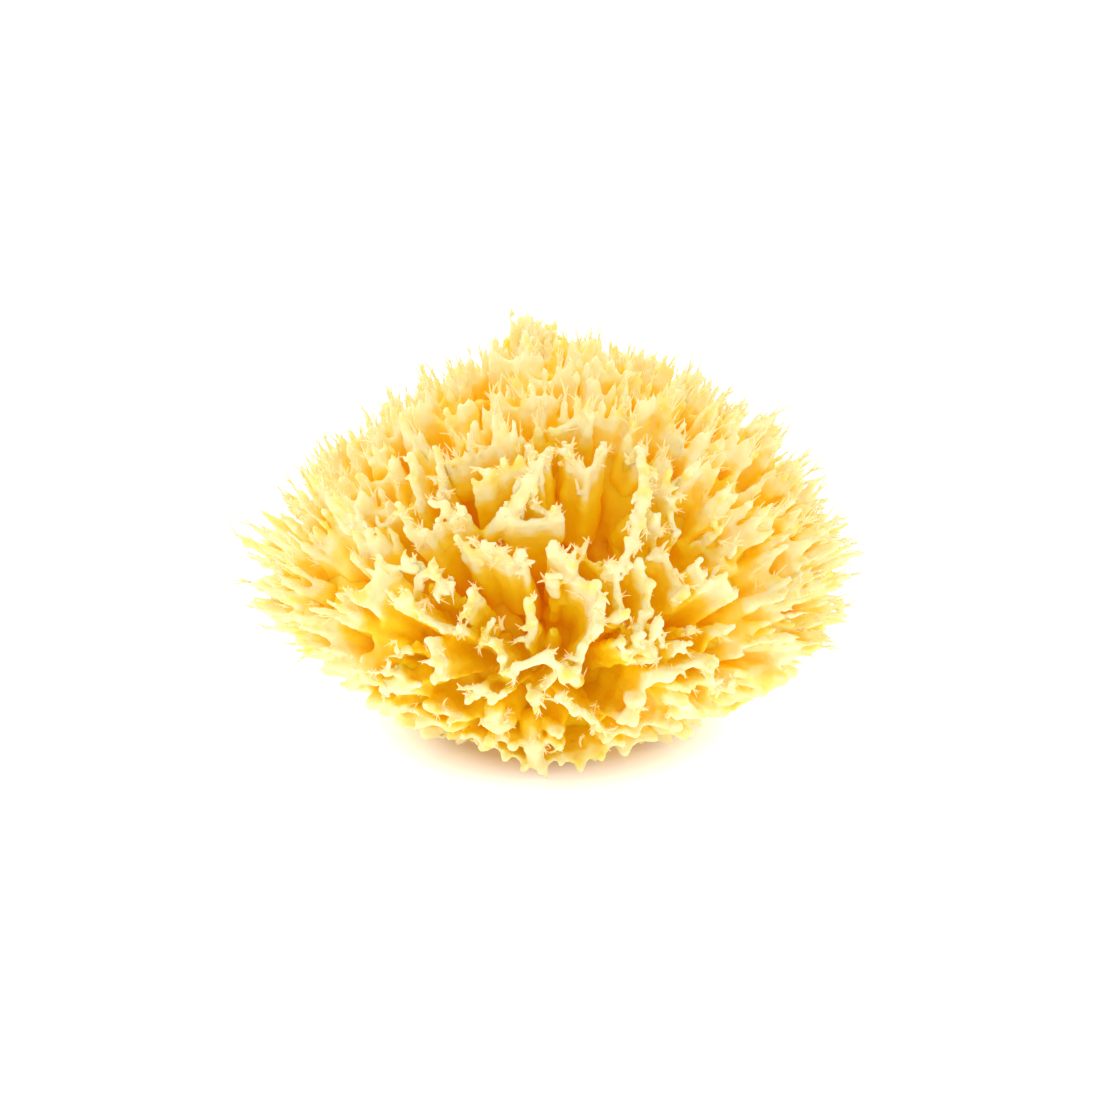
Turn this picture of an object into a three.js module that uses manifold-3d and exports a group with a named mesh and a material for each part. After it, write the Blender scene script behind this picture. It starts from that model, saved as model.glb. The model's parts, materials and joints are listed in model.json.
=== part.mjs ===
// A natural bath sponge, dried and bleached: one grown skeleton, cut flat where it stood on the sea bed.
// Units are millimetres and +Z is up. The origin is the middle of the flat cut, on the surface that the
// sponge rests on, and -Y is its front, where the largest hollows open.
import * as THREE from "three";
import { mergeVertices } from "three/addons/utils/BufferGeometryUtils.js";
import Module from "manifold-3d";

// Driving dimensions
const WIDTH = 140; // over the tips of the tufts, along X
const DEPTH = 120; // over the tips, along Y
const HEIGHT = 91; // from the cut to the highest tips
const SHOULDER_HEIGHT = 35; // height of the widest girth above the cut
const CUT_RADIUS = 31; // half width of the flat cut

// The outline from the side is a dome over a tapering foot. A fullness of 1 is a straight flank from the
// girth to the top or the cut, and 2 is an ellipse. The sponge bulges more on the right than on the left.
const CROWN_FULLNESS = { left: 1.5, right: 1.75 };
const FOOT_FULLNESS = { left: 1.2, right: 1.45 };
const LEFT_SIDE = -0.6; // how far to the left the left-hand fullness begins, as a share of the way out
const RIGHT_SIDE = 0.8; // the same for the right-hand fullness

// The surface: tufts standing close together, with grooves between them
const TUFTS = 100; // over the whole body
const TUFT_WANDER = 0.3; // how far a tuft stands from its even place, as a share of the spacing
const TUFT_WIDTH = 0.62; // from a tuft's tip to the bottom of its groove, as a share of the spacing
const GROOVE_DEPTH = 6.5; // from the tuft tips down to the grooves
const GROOVE_START_HEIGHT = 6; // the foot is smooth at the cut, and its grooves are full this far above it
const TUFT_UNEVENNESS = 2.5; // how much lower than the outline a tuft may end
const SWELLS = [2.2, 1.8, 1.6]; // heights of the three broad waves that make the dome uneven
const BODY_DETAIL = 9; // subdivisions of the icosahedron that becomes the body

// The hollows: each opens outwards along a line from the heart of the sponge.
// turn is degrees round from the front, to the right; rise is degrees above level; mouth is a radius.
const HOLLOWS = [
  { turn: 17, rise: 36, mouth: 8.6, depth: 34 },
  { turn: -5, rise: 6, mouth: 6.4, depth: 36 },
  { turn: 12, rise: -16, mouth: 6.2, depth: 28 },
  { turn: -25, rise: -12, mouth: 6.6, depth: 24 },
  { turn: -27, rise: 34, mouth: 6.0, depth: 26 },
  { turn: 46, rise: 4, mouth: 4.6, depth: 18 },
  { turn: -60, rise: 12, mouth: 5.6, depth: 20 },
  { turn: 78, rise: 30, mouth: 5.2, depth: 22 },
  { turn: 118, rise: 8, mouth: 6.2, depth: 26 },
  { turn: 160, rise: 28, mouth: 6.6, depth: 30 },
  { turn: -150, rise: 2, mouth: 6.0, depth: 26 },
  { turn: -108, rise: 36, mouth: 5.8, depth: 22 },
  { turn: 100, rise: 68, mouth: 6.4, depth: 30 },
  { turn: -70, rise: 72, mouth: 5.4, depth: 24 },
];
const HOLLOW_FLOOR = 0.55; // width of a hollow near its floor, as a share of its mouth
const FLOOR_FLAT = 0.7; // how far the flat part of the floor reaches, as a share of the floor's radius
const FLOOR_RISE = 0.3; // how far the floor has risen there, as a share of the same radius
const MOUTH_FLARE = 1.1; // how much wider the cut is outside the mouth, where there is only air
const HOLLOW_SIDES = 9;

const heart = new THREE.Vector3(0, 0, SHOULDER_HEIGHT);
const tuftSpacing = Math.sqrt((4 * Math.PI) / TUFTS); // as an angle seen from the heart

const wasm = await Module();
wasm.setup();

function solidOf(geometry) {
  const bare = geometry.clone();
  bare.deleteAttribute("normal");
  bare.deleteAttribute("uv");
  const merged = mergeVertices(bare, 1e-3);
  return new wasm.Manifold(
    new wasm.Mesh({
      numProp: 3,
      vertProperties: merged.attributes.position.array,
      triVerts: new Uint32Array(merged.index.array),
    }),
  );
}

function geometryOf(solid) {
  const mesh = solid.getMesh();
  const geometry = new THREE.BufferGeometry();
  geometry.setAttribute("position", new THREE.BufferAttribute(new Float32Array(mesh.vertProperties), 3));
  geometry.setIndex(new THREE.BufferAttribute(new Uint32Array(mesh.triVerts), 1));
  return geometry;
}

// A repeatable number from 0 to 1 for each whole number and stream
function chance(index, stream) {
  const wave = Math.sin(index * 12.9898 + stream * 78.233) * 43758.5453;
  return wave - Math.floor(wave);
}

// Even places over a ball, each nudged aside, so that the tufts stand close but in no rows
function tuftPlaces() {
  const goldenTurn = Math.PI * (3 - Math.sqrt(5));
  return Array.from({ length: TUFTS }, (_, index) => {
    const around = index * goldenTurn;
    const height = 1 - (2 * (index + 0.5)) / TUFTS;
    const radius = Math.sqrt(1 - height * height);
    const place = new THREE.Vector3(radius * Math.cos(around), radius * Math.sin(around), height);
    const nudge = new THREE.Vector3(chance(index, 1), chance(index, 2), chance(index, 3)).subScalar(0.5);
    place.addScaledVector(nudge, 2 * TUFT_WANDER * tuftSpacing).normalize();
    return { place, lower: TUFT_UNEVENNESS * chance(index, 4) };
  });
}

// Distance from the heart to the smooth outline over the tips
function outlineRadius(direction) {
  const isCrown = direction.z > 0;
  const fullness = isCrown ? CROWN_FULLNESS : FOOT_FULLNESS;
  const toRight = THREE.MathUtils.smoothstep(direction.x, LEFT_SIDE, RIGHT_SIDE);
  const power = THREE.MathUtils.lerp(fullness.left, fullness.right, toRight);
  const halfWidth = WIDTH / 2;
  const atCut = Math.pow(1 - Math.pow(CUT_RADIUS / halfWidth, power), 1 / power);
  const reach = isCrown ? HEIGHT - SHOULDER_HEIGHT : SHOULDER_HEIGHT / atCut;
  const level = Math.hypot(direction.x / halfWidth, direction.y / (DEPTH / 2));
  const upright = Math.abs(direction.z) / reach;
  return Math.pow(Math.pow(level, power) + Math.pow(upright, power), -1 / power);
}

// Broad swellings and dips, so that no side of the dome is a true curve
function swell({ x, y, z }) {
  return (
    SWELLS[0] * Math.sin(3.1 * x + 1.3) * Math.cos(2.7 * y - 0.4) +
    SWELLS[1] * Math.sin(4.3 * y + 2.9 * z + 0.8) -
    SWELLS[2] * Math.cos(5.2 * x - 2.1 * z)
  );
}

// The body: a ball whose points are drawn out to the outline, less the grooves between the tufts
function tuftedBody() {
  const tufts = tuftPlaces();
  const body = new THREE.IcosahedronGeometry(1, BODY_DETAIL);
  const points = body.attributes.position;
  const direction = new THREE.Vector3();
  for (let i = 0; i < points.count; i++) {
    direction.fromBufferAttribute(points, i).normalize();
    let nearest = tufts[0];
    for (const tuft of tufts) {
      if (tuft.place.dot(direction) > nearest.place.dot(direction)) nearest = tuft;
    }
    const fromTuft = direction.angleTo(nearest.place) / (TUFT_WIDTH * tuftSpacing);
    const outline = outlineRadius(direction);
    const aboveCut = THREE.MathUtils.smoothstep(heart.z + outline * direction.z, 0, GROOVE_START_HEIGHT);
    const groove = GROOVE_DEPTH * THREE.MathUtils.smoothstep(fromTuft, 0, 1);
    const radius = outline + (swell(direction) - nearest.lower - groove) * aboveCut;
    direction.multiplyScalar(radius).add(heart);
    points.setXYZ(i, direction.x, direction.y, direction.z);
  }
  return solidOf(body);
}

// One hollow: a round shaft with a bowl-shaped floor, a little wider at the mouth
function hollow({ turn, rise, mouth, depth }) {
  const around = THREE.MathUtils.degToRad(turn);
  const up = THREE.MathUtils.degToRad(rise);
  const level = Math.cos(up);
  const outwards = new THREE.Vector3(Math.sin(around) * level, -Math.cos(around) * level, Math.sin(up));
  const floor = mouth * HOLLOW_FLOOR;
  const profile = [
    new THREE.Vector2(0, -depth),
    new THREE.Vector2(floor * FLOOR_FLAT, -depth + floor * FLOOR_RISE),
    new THREE.Vector2(floor, -depth + floor),
    new THREE.Vector2(mouth, 0),
    new THREE.Vector2(mouth * MOUTH_FLARE, mouth * 2),
    new THREE.Vector2(0, mouth * 2),
  ];
  const shaft = new THREE.LatheGeometry(profile, HOLLOW_SIDES);
  const along = new THREE.Quaternion().setFromUnitVectors(new THREE.Vector3(0, 1, 0), outwards);
  const place = heart.clone().addScaledVector(outwards, outlineRadius(outwards));
  shaft.applyMatrix4(new THREE.Matrix4().compose(place, along, new THREE.Vector3(1, 1, 1)));
  return solidOf(shaft);
}

// Everything below the surface that the sponge stands on
function belowTheCut() {
  const side = 2 * WIDTH;
  return solidOf(new THREE.BoxGeometry(side, side, side).translate(0, 0, -side / 2));
}

// The whole sponge, brought to its exact size over the tips, with its middle over the origin
function spongeGeometry() {
  let body = tuftedBody().subtract(belowTheCut());
  for (const each of HOLLOWS) body = body.subtract(hollow(each));
  const geometry = geometryOf(body);
  geometry.computeBoundingBox();
  const size = geometry.boundingBox.getSize(new THREE.Vector3());
  const middle = geometry.boundingBox.getCenter(new THREE.Vector3());
  geometry.translate(-middle.x, -middle.y, -geometry.boundingBox.min.z);
  geometry.scale(WIDTH / size.x, DEPTH / size.y, HEIGHT / size.z);
  geometry.computeVertexNormals();
  return geometry;
}

const spongin = new THREE.MeshStandardMaterial({ color: 0xf7d684, roughness: 0.85, metalness: 0 });

const sponge = new THREE.Mesh(spongeGeometry(), spongin);
sponge.name = "sponge";

const seaSponge = new THREE.Group();
seaSponge.add(sponge);

export default seaSponge;
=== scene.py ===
"""A natural bath sponge: one grown skeleton of walls and tufts, standing on its flat cut.

Lengths are in millimetres while the sponge grows, and each mesh is brought to metres once it is made.
"""
import json
import math

import bmesh
import bpy
import numpy as np
import openvdb
from mathutils import Matrix, Vector
from mathutils.kdtree import KDTree

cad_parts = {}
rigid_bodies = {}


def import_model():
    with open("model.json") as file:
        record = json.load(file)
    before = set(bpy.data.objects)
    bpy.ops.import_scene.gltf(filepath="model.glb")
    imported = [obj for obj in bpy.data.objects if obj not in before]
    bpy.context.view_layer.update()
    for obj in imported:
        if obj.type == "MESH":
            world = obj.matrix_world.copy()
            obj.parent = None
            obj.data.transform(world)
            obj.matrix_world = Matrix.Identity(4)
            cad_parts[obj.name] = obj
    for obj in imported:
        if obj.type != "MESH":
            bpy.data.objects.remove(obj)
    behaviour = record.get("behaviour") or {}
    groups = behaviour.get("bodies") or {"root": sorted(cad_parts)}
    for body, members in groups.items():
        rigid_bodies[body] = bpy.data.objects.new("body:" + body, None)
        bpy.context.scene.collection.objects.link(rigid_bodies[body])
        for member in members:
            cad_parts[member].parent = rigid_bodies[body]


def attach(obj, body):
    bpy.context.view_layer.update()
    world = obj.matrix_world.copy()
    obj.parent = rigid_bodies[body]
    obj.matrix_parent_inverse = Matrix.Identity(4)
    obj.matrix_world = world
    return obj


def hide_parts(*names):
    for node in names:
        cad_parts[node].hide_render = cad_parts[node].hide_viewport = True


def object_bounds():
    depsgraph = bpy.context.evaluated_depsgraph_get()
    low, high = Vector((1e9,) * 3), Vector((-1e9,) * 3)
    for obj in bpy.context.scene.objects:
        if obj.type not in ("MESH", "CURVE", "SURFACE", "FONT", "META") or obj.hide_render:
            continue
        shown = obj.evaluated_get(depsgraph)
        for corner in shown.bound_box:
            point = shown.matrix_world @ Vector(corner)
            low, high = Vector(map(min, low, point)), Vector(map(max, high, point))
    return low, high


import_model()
cad_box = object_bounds()

MM = 0.001
LOW, HIGH = (np.array(corner) / MM for corner in cad_box)
WIDTH, DEPTH, HEIGHT = HIGH - LOW

# The outline over the tips: a dome over a tapering foot, fuller on the right than on the left. A fullness
# of 1 is a straight flank and 2 is an ellipse. Levels run from 0 at the heart to 1 on the outline.
SHOULDER = 0.385 * HEIGHT
CUT_RADIUS = 0.22 * WIDTH
CROWN_FULLNESS = (1.5, 1.75)
FOOT_FULLNESS = (1.2, 1.45)
LEFT_SIDE, RIGHT_SIDE = -0.6, 0.8
HEART = np.array([0.0, 0.0, SHOULDER])
HALVINGS = 24  # steps that find where a line meets the outline

# The front, and the front of the foot, which little light reaches and where the painted shade is deeper: the
# turn and rise of its middle, and the cosines of the angles from there over which it fades in
FRONT_MIDDLE, FRONT_EDGE = (-2, 12), (0.55, 0.88)
UNDER_MIDDLE, UNDER_EDGE = (-14, -28), (0.72, 0.95)

# The tufts, each from its root inside the core to its tip on the outline
TUFT_TRIES = 30000
TUFT_GAP = (6.6, 7.6)  # between tips, on the flanks and at the front
LOWEST_TIP = 1.6
CLEAR_OF_RIMS = 27  # squared distance that a tip keeps from the rims of the front walls
ROOT_LEVEL = 0.60
ROOT_DROP = (24, 13)  # degrees from a tip down to its root, seen from the heart, at the left and right
FOOT_TOP = (20, 38)  # between these heights the bumps of the foot give way to tufts
NEIGHBOURS = 1.55  # tufts closer than this many gaps may be joined by a wall or a web
JOINED = 0.7  # the share of them that is

# Radii along each kind of tuft, from root to tip, as shares of its gap, and how thin it may get
BLADE_TAPER, THINNEST_BLADE = ([0, 0.4, 0.75, 1], [0.26, 0.19, 0.11, 0.03]), 0.22
STUB_TAPER = ([0, 0.5, 0.8, 1], [0.44, 0.36, 0.26, 0.15])
POST_TAPER, THINNEST_POST = ([0, 0.5, 0.8, 1], [0.22, 0.14, 0.10, 0.055]), 0.42
PRONG_RADII = np.array([0.70, 0.50, 0.22])
SHRED_RADII = np.array([0.62, 0.45, 0.22])

# The grids of distances to the surface
FRONT_VOXEL = 0.45
VOXEL = 0.55
CORE_VOXEL = 1.0
CORE_TRIANGLES = 60000
PAINTED_SHADE_VOXEL = 1.0
MARGIN = 5  # grid left round the limbs
LUMP_MARGIN = 6  # more grid round a shaft, whose sides are lumpy
FAR = 4.0  # distances past this aren't kept
ANCHORED = 0.75  # a bit of mesh that never gets down to this level hangs free

# The regions, each of which is one mesh: the turn and rise that it faces, its grid and its triangles
REGIONS = [
    ("front", (-2, 10), FRONT_VOXEL, 187000),
    ("left", (-80, 20), VOXEL, 142000),
    ("right", (80, 18), VOXEL, 142000),
    ("crown", (0, 80), VOXEL, 125000),
    ("back", (180, 15), VOXEL, 110000),
]

# Frayed ends: the kinds, and how many shapes there are of each
WISP, HOOK, CLAW, FEATHER = range(4)
FRAY_SHAPES = 4
FRAY_ROOT = np.array([0, 0, -0.25])
LOWEST_FRAY = 6

# The great hollows: turn round from the front to the right, rise above level, mouth radius, depth
HOLLOWS = [
    (17, 36, 8.6, 34), (-5, 6, 6.4, 36), (12, -16, 6.2, 28), (-25, -12, 6.6, 24), (-27, 34, 6.0, 26),
    (46, 4, 4.6, 18), (-60, 12, 5.6, 20), (78, 30, 5.2, 22), (118, 8, 6.2, 26), (160, 28, 6.6, 30),
    (-150, 2, 6.0, 26), (-108, 36, 5.8, 22), (100, 68, 6.4, 30), (-70, 72, 5.4, 24),
]

# Shallower pockets among the walls at the front
POCKETS = [
    (-16, -3, 4.2, 15), (8, 3, 4.4, 16), (25, 5, 4.0, 13), (37, 27, 4.8, 15), (27, -22, 4.8, 15),
    (-36, 14, 4.0, 13), (-12, 20, 3.8, 13), (42, -8, 3.6, 11), (-44, -4, 3.6, 11), (4, 52, 4.0, 13),
    (54, 14, 3.4, 10), (60, 34, 3.4, 10), (-48, 32, 3.4, 10), (52, -14, 3.2, 9), (-3, -26, 3.6, 10),
]

# The walls at the front: how thick each is at its rim, and the rim's course as turn, rise and level
FRONT_WALLS = [
    (0.9, [(-24, 28, 1.0), (-21, 26, 0.97), (-17, 28, 1.0), (-14, 26, 0.96), (-11, 25, 0.96), (-7, 26, 1.0),
           (-6, 22, 0.93)]),
    (1.5, [(1, 28, 1.0), (5, 24, 1.0), (7, 20, 0.96), (10, 19, 1.0), (11, 15, 1.0), (10, 10, 0.99),
           (7, 6, 0.96), (6, 0, 0.92)]),
    (0.9, [(-26, 43, 0.97), (-21, 45, 1.0), (-16, 48, 1.0), (-11, 49, 1.0), (-4, 47, 1.0)]),
    (0.9, [(6, 58, 1.0), (8, 52, 0.95), (14, 48, 0.92), (19, 51, 0.96), (24, 56, 1.0)]),
    (0.8, [(-10, 56, 1.0), (-7, 52, 0.95), (-2, 51, 0.95), (0, 54, 1.0)]),
    (0.9, [(-44, 32, 1.0), (-40, 28, 0.96), (-35, 28, 0.95), (-31, 35, 1.0), (-28, 32, 0.96),
           (-25, 35, 1.0)]),
    (1.3, [(21, 23, 1.0), (23, 18, 0.98), (22, 12, 0.96), (20, 8, 0.92)]),
    (0.9, [(15, 7, 1.0), (18, 1, 0.92), (19, 8, 1.0), (22, 1, 0.92), (23, 10, 1.0), (27, 2, 0.93),
           (29, 5, 1.0)]),
    (0.9, [(-37, 14, 1.0), (-35, 11, 0.96), (-32, 13, 1.0), (-28, 10, 0.98), (-24, 8, 0.95), (-20, 9, 0.96),
           (-18, 17, 1.0)]),
    (1.1, [(-26, 6, 1.0), (-24, 2, 1.0), (-25, -3, 0.97)]),
    (1.0, [(-12, 7, 1.0), (-10, 4, 1.0), (-10, 0, 0.96)]),
    (1.2, [(-5, 16, 1.0), (-4, 11, 0.95), (-5, 5, 0.90)]),
    (1.0, [(-44, 48, 1.0), (-40, 44, 0.96), (-38, 38, 0.90)]),
    (1.0, [(-51, 44, 1.0), (-47, 39, 0.95), (-44, 34, 0.90)]),
    (1.0, [(37, 41, 1.0), (36, 35, 0.95), (36, 28, 0.90)]),
    (1.0, [(-18, -8, 1.0), (-15, -4, 1.0), (-13, -8, 1.0), (-10, -5, 1.0)]),
    (1.0, [(2, -6, 0.98), (6, -11, 1.0), (10, -15, 1.0), (15, -23, 1.0)]),
    (0.9, [(35, 21, 1.0), (37, 16, 0.97), (40, 17, 1.0), (44, 12, 0.97), (48, 14, 1.0)]),
    (0.9, [(30, -6, 1.0), (35, -5, 0.98), (44, -11, 0.98), (47, -6, 1.0)]),
    (1.7, [(-30, -34, 0.98), (-23, -37, 1.0), (-16, -40, 1.03), (-9, -42, 1.07), (-3, -43, 1.08),
           (4, -42, 1.04), (11, -42, 1.07), (18, -39, 1.03), (25, -36, 0.98)]),
    (1.5, [(-19, -31, 1.0), (-12, -34, 1.0), (-4, -35, 0.97), (3, -33, 1.0)]),
]

# Ribbons that hang free: points as turn, rise, level and radius
FRONT_RIBBONS = [
    [(37, 50, 0.72, 1.6), (33, 49, 0.97, 0.9), (29, 43, 1.0, 1.1), (26, 37, 1.0, 1.5), (23, 31, 0.99, 1.3),
     (20, 27, 0.98, 1.0), (17.5, 22, 0.96, 0.4)],
    [(-12, -6, 0.85, 1.6), (-7, 2, 0.96, 0.9), (-1, 4, 0.98, 0.8), (4, 0, 0.97, 0.9),
     (7, -6, 0.86, 1.5)],
    [(-7, -32, 0.85, 2.6), (-6, -38, 0.97, 2.3), (-5, -43, 1.04, 1.9), (-4, -45, 1.07, 1.3)],
    [(-3, 48, 1.0, 0.7), (-6, 43, 1.0, 1.0), (-9, 39, 0.98, 1.3), (-14, 35, 0.94, 1.6),
     (-19, 32, 0.84, 2.0)],
    [(-36, 8, 0.80, 1.6), (-33, 17, 0.95, 0.8), (-28, 20, 0.98, 0.6), (-25, 16, 0.93, 0.9)],
]

# Where the tallest tufts of the crown end
CROWN_PEAKS = [(-5, 28, 86), (-1, 28, 87), (9, 26, 83), (13, 25, 81), (20, 23, 78), (-13, 26, 80)]

# Base colour and glow, from the open tips to the depths of the hollows: the spongin's own cream, with
# painted shade that
# # turns it golden and amber where it lies deep or crowded, and a painted glow standing in for light
# scattered through it
PAINTED_SHADE_TINTS = [
    (0.00, (0.97, 0.84, 0.47)),
    (0.06, (0.96, 0.74, 0.21)),
    (0.15, (0.91, 0.64, 0.04)),
    (0.38, (0.85, 0.55, 0.005)),
    (0.90, (0.79, 0.44, 0.005)),
]
PAINTED_GLOWS = [
    (0.04, (0.0, 0.0, 0.0)),
    (0.20, (0.06, 0.042, 0.0)),
    (0.40, (0.10, 0.066, 0.0)),
    (0.65, (0.13, 0.064, 0.0)),
    (0.95, (0.15, 0.044, 0.0)),
]

# The floor: its colour and glow from under the sponge outwards, as shares of the shade's reach. The colour
# paints a warm
# # shadow round the foot, and the glow paints the floor brighter beyond it, so that its real shadow fades
FLOOR_SIZE = 30.0
SHADE_REACH = 0.1
FLOOR_PAINTED_SHADOW = [
    (0.26, (0.86, 0.77, 0.62)),
    (0.40, (0.92, 0.92, 0.94)),
]
FLOOR_PAINTED_GLOWS = [
    (0.25, (0.22, 0.15, 0.10)),
    (0.36, (0.60, 0.56, 0.60)),
    (0.45, (0.95, 0.95, 1.0)),
]

# The camera
LENS = 100
ELEVATION = 21  # degrees that it looks down
AIM_HEIGHT = 0.041
FILLED = 0.562  # share of the view's width that the sponge takes up

rng = np.random.default_rng(23)


# ---------------------------------------------------------------- numbers and directions

def smoothstep(value, low, high):
    share = np.clip((value - low) / (high - low), 0, 1)
    return share * share * (3 - 2 * share)


def mix(first, second, share):
    return first + (second - first) * share


def unit(vector):
    return vector / np.linalg.norm(vector, axis=-1, keepdims=True)


def outwards(turn, rise):
    """The direction turned round from the front to the right, and raised above level, in degrees."""
    around, up = math.radians(turn), math.radians(rise)
    return np.array([math.sin(around) * math.cos(up), -math.cos(around) * math.cos(up), math.sin(up)])


def outline_level(points):
    """0 at the heart and 1 on the outline over the tips."""
    x, y, z = np.moveaxis(points - HEART, -1, 0)
    reach = np.sqrt(x * x + y * y + z * z) + 1e-6
    to_right = smoothstep(x / reach, LEFT_SIDE, RIGHT_SIDE)
    fullness = np.where(z > 0, mix(*CROWN_FULLNESS, to_right), mix(*FOOT_FULLNESS, to_right))
    at_cut = (1 - (2 * CUT_RADIUS / WIDTH) ** fullness) ** (1 / fullness)
    tall = np.where(z > 0, HEIGHT - SHOULDER, SHOULDER / at_cut)
    level = np.hypot(2 * x / WIDTH, 2 * y / DEPTH)
    return (level ** fullness + np.abs(z / tall) ** fullness) ** (1 / fullness)


def at_level(start, directions, level):
    """The points where lines from start reach a level of the outline."""
    near, far = np.zeros(len(directions)), np.full(len(directions), 2 * WIDTH)
    for _ in range(HALVINGS):
        middle = (near + far) / 2
        inside = outline_level(start + directions * middle[:, None]) < level
        near, far = np.where(inside, middle, near), np.where(inside, far, middle)
    return start + directions * near[:, None]


# ---------------------------------------------------------------- the growing field of distances

def smooth_min(first, second, blend):
    """The lesser of two distances, rounded off where they are within the blend of each other."""
    close = np.maximum(blend - np.abs(first - second), 0) / blend
    return np.minimum(first, second) - close * close * (blend / 4)


class Field:
    """Distances to the skeleton's surface on a grid over a box: below zero is inside."""

    def __init__(self, low, high, voxel):
        self.voxel = voxel
        self.low = np.maximum(low, LOW) - MARGIN
        self.shape = np.ceil((np.minimum(high, HIGH) + MARGIN - self.low) / voxel).astype(int)
        steps = [voxel * np.arange(count) for count in self.shape]
        self.axes = [(self.low[k] + steps[k]).astype(np.float32) for k in range(3)]
        self.distance = np.full(self.shape, FAR, np.float32)

    def points(self):
        return np.stack(np.meshgrid(*self.axes, indexing="ij"), axis=-1)

    def near(self, points, reach):
        """The part of the grid within reach of some points, with its coordinates."""
        first = np.clip(((points.min(0) - reach - self.low) / self.voxel).astype(int), 0, self.shape)
        last = np.clip(((points.max(0) + reach - self.low) / self.voxel).astype(int) + 2, 0, self.shape)
        where = tuple(slice(i, j) for i, j in zip(first, last))
        return where, (
            self.axes[0][where[0]][:, None, None],
            self.axes[1][where[1]][None, :, None],
            self.axes[2][where[2]][None, None, :],
        )

    def add_limb(self, points, radii, blend):
        for i in range(len(points) - 1):
            pair = slice(i, i + 2)
            where, place = self.near(points[pair], radii[pair].max() + blend)
            added = rod_distance(place, *points[pair], *radii[pair])
            self.distance[where] = smooth_min(self.distance[where], added, blend if i else blend * 0.7)

    def carve(self, points, radii, blend, uneven):
        for i in range(len(points) - 1):
            pair = slice(i, i + 2)
            where, place = self.near(points[pair], radii[pair].max() + blend + LUMP_MARGIN)
            removed = rod_distance(place, *points[pair], *radii[pair]) + uneven[where]
            self.distance[where] = -smooth_min(-self.distance[where], removed, blend)

    def add_web(self, left, right, saddle, rise, thickness, blend):
        where, place = self.near(np.concatenate([left, right]), max(thickness) + blend)
        added = web_distance(place, left, right, saddle, rise, thickness)
        self.distance[where] = smooth_min(self.distance[where], added, blend)

    def add_growth(self, limbs, webs):
        for web in webs:
            self.add_web(*web)
        for limb in limbs:
            self.add_limb(*limb)

    def lumps(self, size):
        """A smooth random number everywhere, with lumps about this far apart."""
        cells = size / self.voxel
        values = rng.standard_normal([int(n / cells) + 3 for n in self.shape]).astype(np.float32)
        for axis, count in enumerate(self.shape):
            cell = np.arange(count) / cells
            share = smoothstep(cell % 1, 0, 1).astype(np.float32)
            share = share.reshape([count if k == axis else 1 for k in range(3)])
            first = np.take(values, cell.astype(int), axis=axis)
            second = np.take(values, cell.astype(int) + 1, axis=axis)
            values = mix(first, second, share)
        return values


def rod_distance(place, start, end, first, last):
    """Distance to a rod with round ends, whose radius changes evenly along it."""
    along = end - start
    offset = [place[k] - np.float32(start[k]) for k in range(3)]
    share = sum(offset[k] * np.float32(along[k]) for k in range(3)) / np.float32(along @ along + 1e-6)
    share = np.clip(share, 0, 1)
    apart = np.sqrt(sum((offset[k] - share * np.float32(along[k])) ** 2 for k in range(3)))
    return apart - (np.float32(first) + np.float32(last - first) * share)


def web_distance(place, left, right, saddle, rise, thickness):
    """Distance to a wall between two rods, whose top dips in the middle like a saddle."""
    along = [left[1] - left[0], right[1] - right[0]]
    axis, start = (along[0] + along[1]) / 2, (left[0] + right[0]) / 2
    up = sum((place[k] - np.float32(start[k])) * np.float32(axis[k]) for k in range(3))
    up = np.clip(up / np.float32(axis @ axis), 0, 1)
    for _ in range(2):
        first = [np.float32(left[0][k]) + up * np.float32(along[0][k]) for k in range(3)]
        across = [np.float32(right[0][k]) + up * np.float32(along[1][k]) - first[k] for k in range(3)]
        share = sum((place[k] - first[k]) * across[k] for k in range(3))
        share = np.clip(share / (sum(c * c for c in across) + np.float32(1e-6)), 0, 1)
        up = np.minimum(up, np.float32(saddle) + np.float32(rise) * (2 * share - 1) ** 2)
    first = [np.float32(left[0][k]) + up * np.float32(along[0][k]) for k in range(3)]
    second = [np.float32(right[0][k]) + up * np.float32(along[1][k]) for k in range(3)]
    apart = np.sqrt(sum((place[k] - mix(first[k], second[k], share)) ** 2 for k in range(3)))
    return apart - (np.float32(thickness[0]) + np.float32(thickness[1] - thickness[0]) * up)


# ---------------------------------------------------------------- growth

def spot(turn, rise, level):
    """The point at a level of the outline, seen from the heart in this direction."""
    return at_level(HEART, outwards(turn, rise)[None], level)[0]


def front_share(directions):
    """How far each direction from the heart belongs to the front, from 0 to 1."""
    return smoothstep(directions @ outwards(*FRONT_MIDDLE), *FRONT_EDGE)


class Region:
    """The limbs and walls that will be one mesh."""

    def __init__(self, name, facing, voxel, triangles):
        self.name = name
        self.facing = facing
        self.voxel = voxel
        self.triangles = triangles
        self.limbs, self.webs = [], []
        self.late_limbs, self.late_webs = [], []
        self.frays = []

    def field(self):
        """The tufts and walls, then the hollows, then what stands in front of the hollows."""
        ends = np.concatenate([points for points, _, _ in self.limbs])
        field = Field(ends.min(0), ends.max(0), self.voxel)
        field.add_growth(self.limbs, self.webs)
        hollow_out(field, 0.9)
        field.add_growth(self.late_limbs, self.late_webs)
        return field


def hollow_shafts(margin):
    """The direction of each hollow and its radius with a margin, for keeping tufts out of it."""
    return [(outwards(turn, rise), mouth + margin) for turn, rise, mouth, _ in HOLLOWS + POCKETS]


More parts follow.
